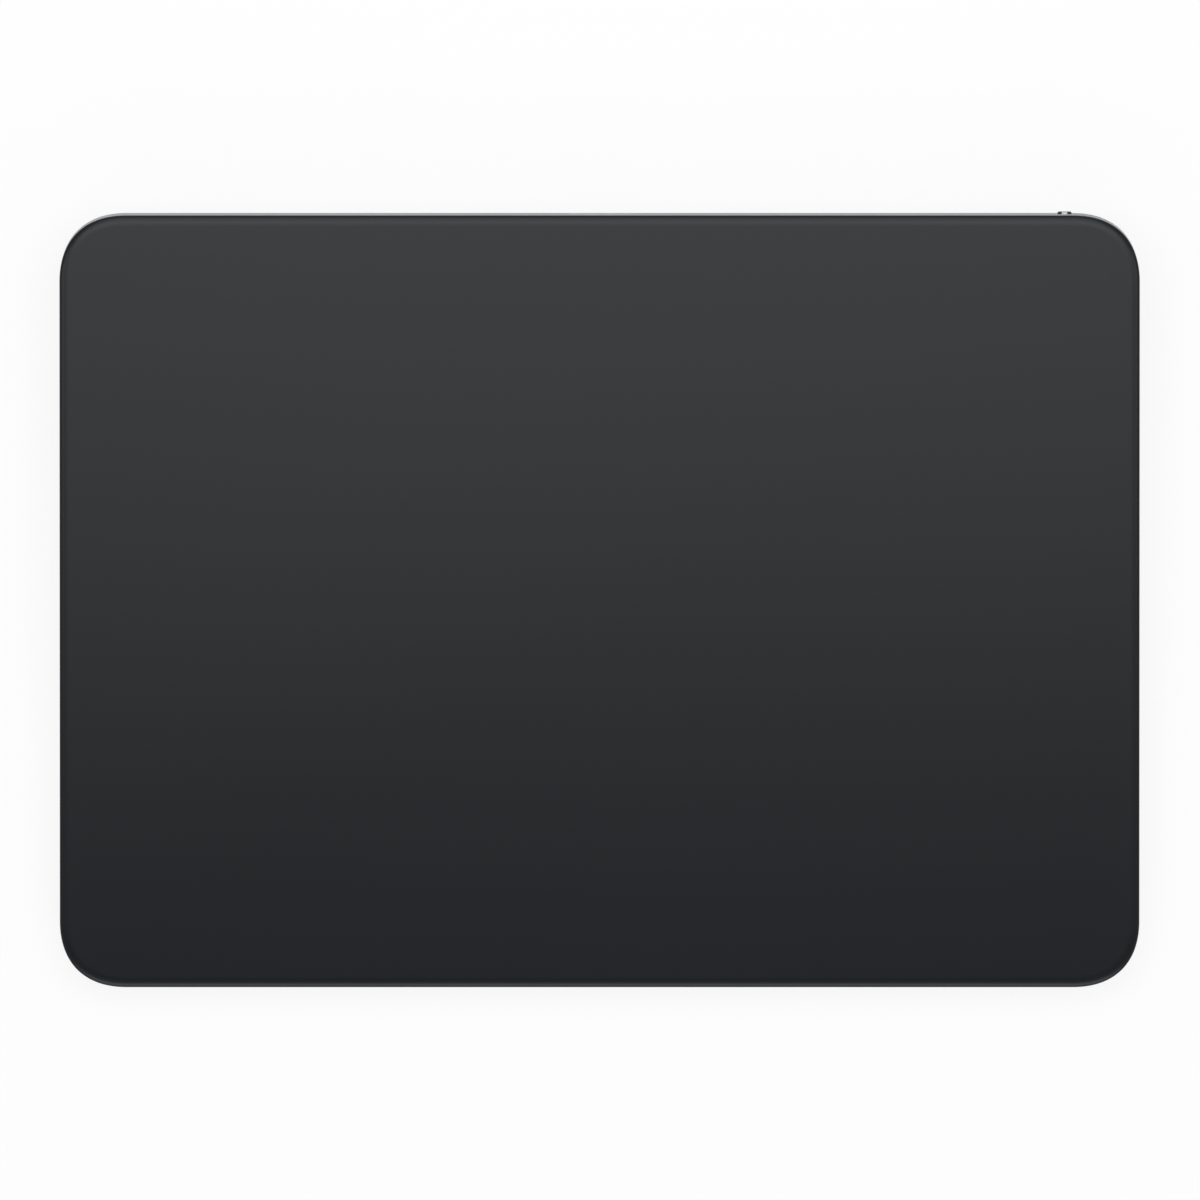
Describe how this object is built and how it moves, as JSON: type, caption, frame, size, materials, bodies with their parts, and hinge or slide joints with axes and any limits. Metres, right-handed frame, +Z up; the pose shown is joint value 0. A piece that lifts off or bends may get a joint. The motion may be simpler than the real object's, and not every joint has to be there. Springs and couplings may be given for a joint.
{
  "type": "trackpad",
  "caption": "Low wedge-shaped desk trackpad with an edge-to-edge black glass touch surface on a silver aluminium body, with a rear power switch and charging socket.",
  "frame": {"origin": "centre of the trackpad's footprint on the desk plane, under its four feet", "axes": "+X to the user's right, +Y from the user's edge towards the raised rear edge, +Z up"},
  "size_m": [0.16, 0.115, 0.0108],
  "materials": {
    "glass": "satin black, painted on its underside",
    "aluminium": "bead-blasted and anodised, silver",
    "cover": "fine matte, light grey",
    "rubber": "matte light grey",
    "circuit_board": "dark green solder resist",
    "spring_steel": "rolled",
    "stiffener": "milled sheet",
    "screw_steel": "bright zinc",
    "shield_steel": "tinned",
    "gold": "gold plated",
    "copper": "enamelled wire",
    "core_steel": "laminated",
    "silicone": "translucent gel",
    "chip": "moulded black",
    "socket_plastic": "natural ivory",
    "black_plastic": "moulded black",
    "flex": "amber film",
    "pouch": "black-wrapped foil pouch",
    "adhesive": "white tape",
    "coax": "black jacket",
    "switch_white": "moulded white"
  },
  "bodies": {
    "base": {"enclosure": "aluminium", "bottom_cover": "cover", "antenna_window": "black_plastic", "strain_gauges": "flex", "flexure_screws": "screw_steel", "port_shell": "shield_steel", "port_tongue": "black_plastic", "port_contacts": "gold", "port_board": "circuit_board", "port_bracket": "shield_steel", "port_screws": "screw_steel", "switch_body": "black_plastic", "switch_board": "circuit_board", "switch_screw": "screw_steel", "battery_cell": "pouch", "battery_guard_board": "circuit_board", "battery_tabs": "shield_steel", "battery_strips": "adhesive", "main_board": "circuit_board", "large_shield": "shield_steel", "small_shield": "shield_steel", "board_chips": "chip", "board_sockets": "socket_plastic", "board_screws": "screw_steel", "coax_sockets": "gold", "antenna_board": "circuit_board", "antenna_lead": "coax", "haptic_core": "core_steel", "haptic_screws": "screw_steel", "battery_flex": "flex", "port_flex": "flex", "switch_flex": "flex", "haptic_flex": "flex", "touch_flex": "flex", "force_flex": "flex", "flexure_rear_left": "spring_steel", "foot_rear_left": "rubber", "flexure_rear_right": "spring_steel", "foot_rear_right": "rubber", "flexure_front_right": "spring_steel", "foot_front_right": "rubber", "flexure_front_left": "spring_steel", "foot_front_left": "rubber", "haptic_coil_1": "copper", "haptic_coil_2": "copper", "haptic_coil_3": "copper", "haptic_coil_4": "copper"},
    "pads": {"flexure_pads": "silicone"},
    "touch_plate": {"glass_plate": "glass", "touch_sensor_board": "circuit_board", "stiffener_plate": "stiffener", "touch_chips": "chip", "haptic_armature": "core_steel"},
    "power_switch": {"switch_slider": "aluminium", "switch_lever": "switch_white"}
  },
  "joints": [
    {"name": "surface_press", "type": "slide", "parent": "base", "child": "pads", "axis": [0, 0.0523, -0.9986], "range_m": [0, 0.0002], "stiffness_N_per_m": 20000, "springref_m": -0.0001, "deforming": ["flexure_rear_left", "flexure_rear_right", "flexure_front_right", "flexure_front_left", "touch_flex"]},
    {"name": "surface_shake", "type": "slide", "parent": "pads", "child": "touch_plate", "axis": [0, 0.9986, 0.0523], "range_m": [-0.0001, 0.0001], "stiffness_N_per_m": 30000},
    {"name": "power_slide", "type": "slide", "parent": "base", "child": "power_switch", "axis": [-1, 0, 0], "range_m": [0, 0.0024]}
  ]
}
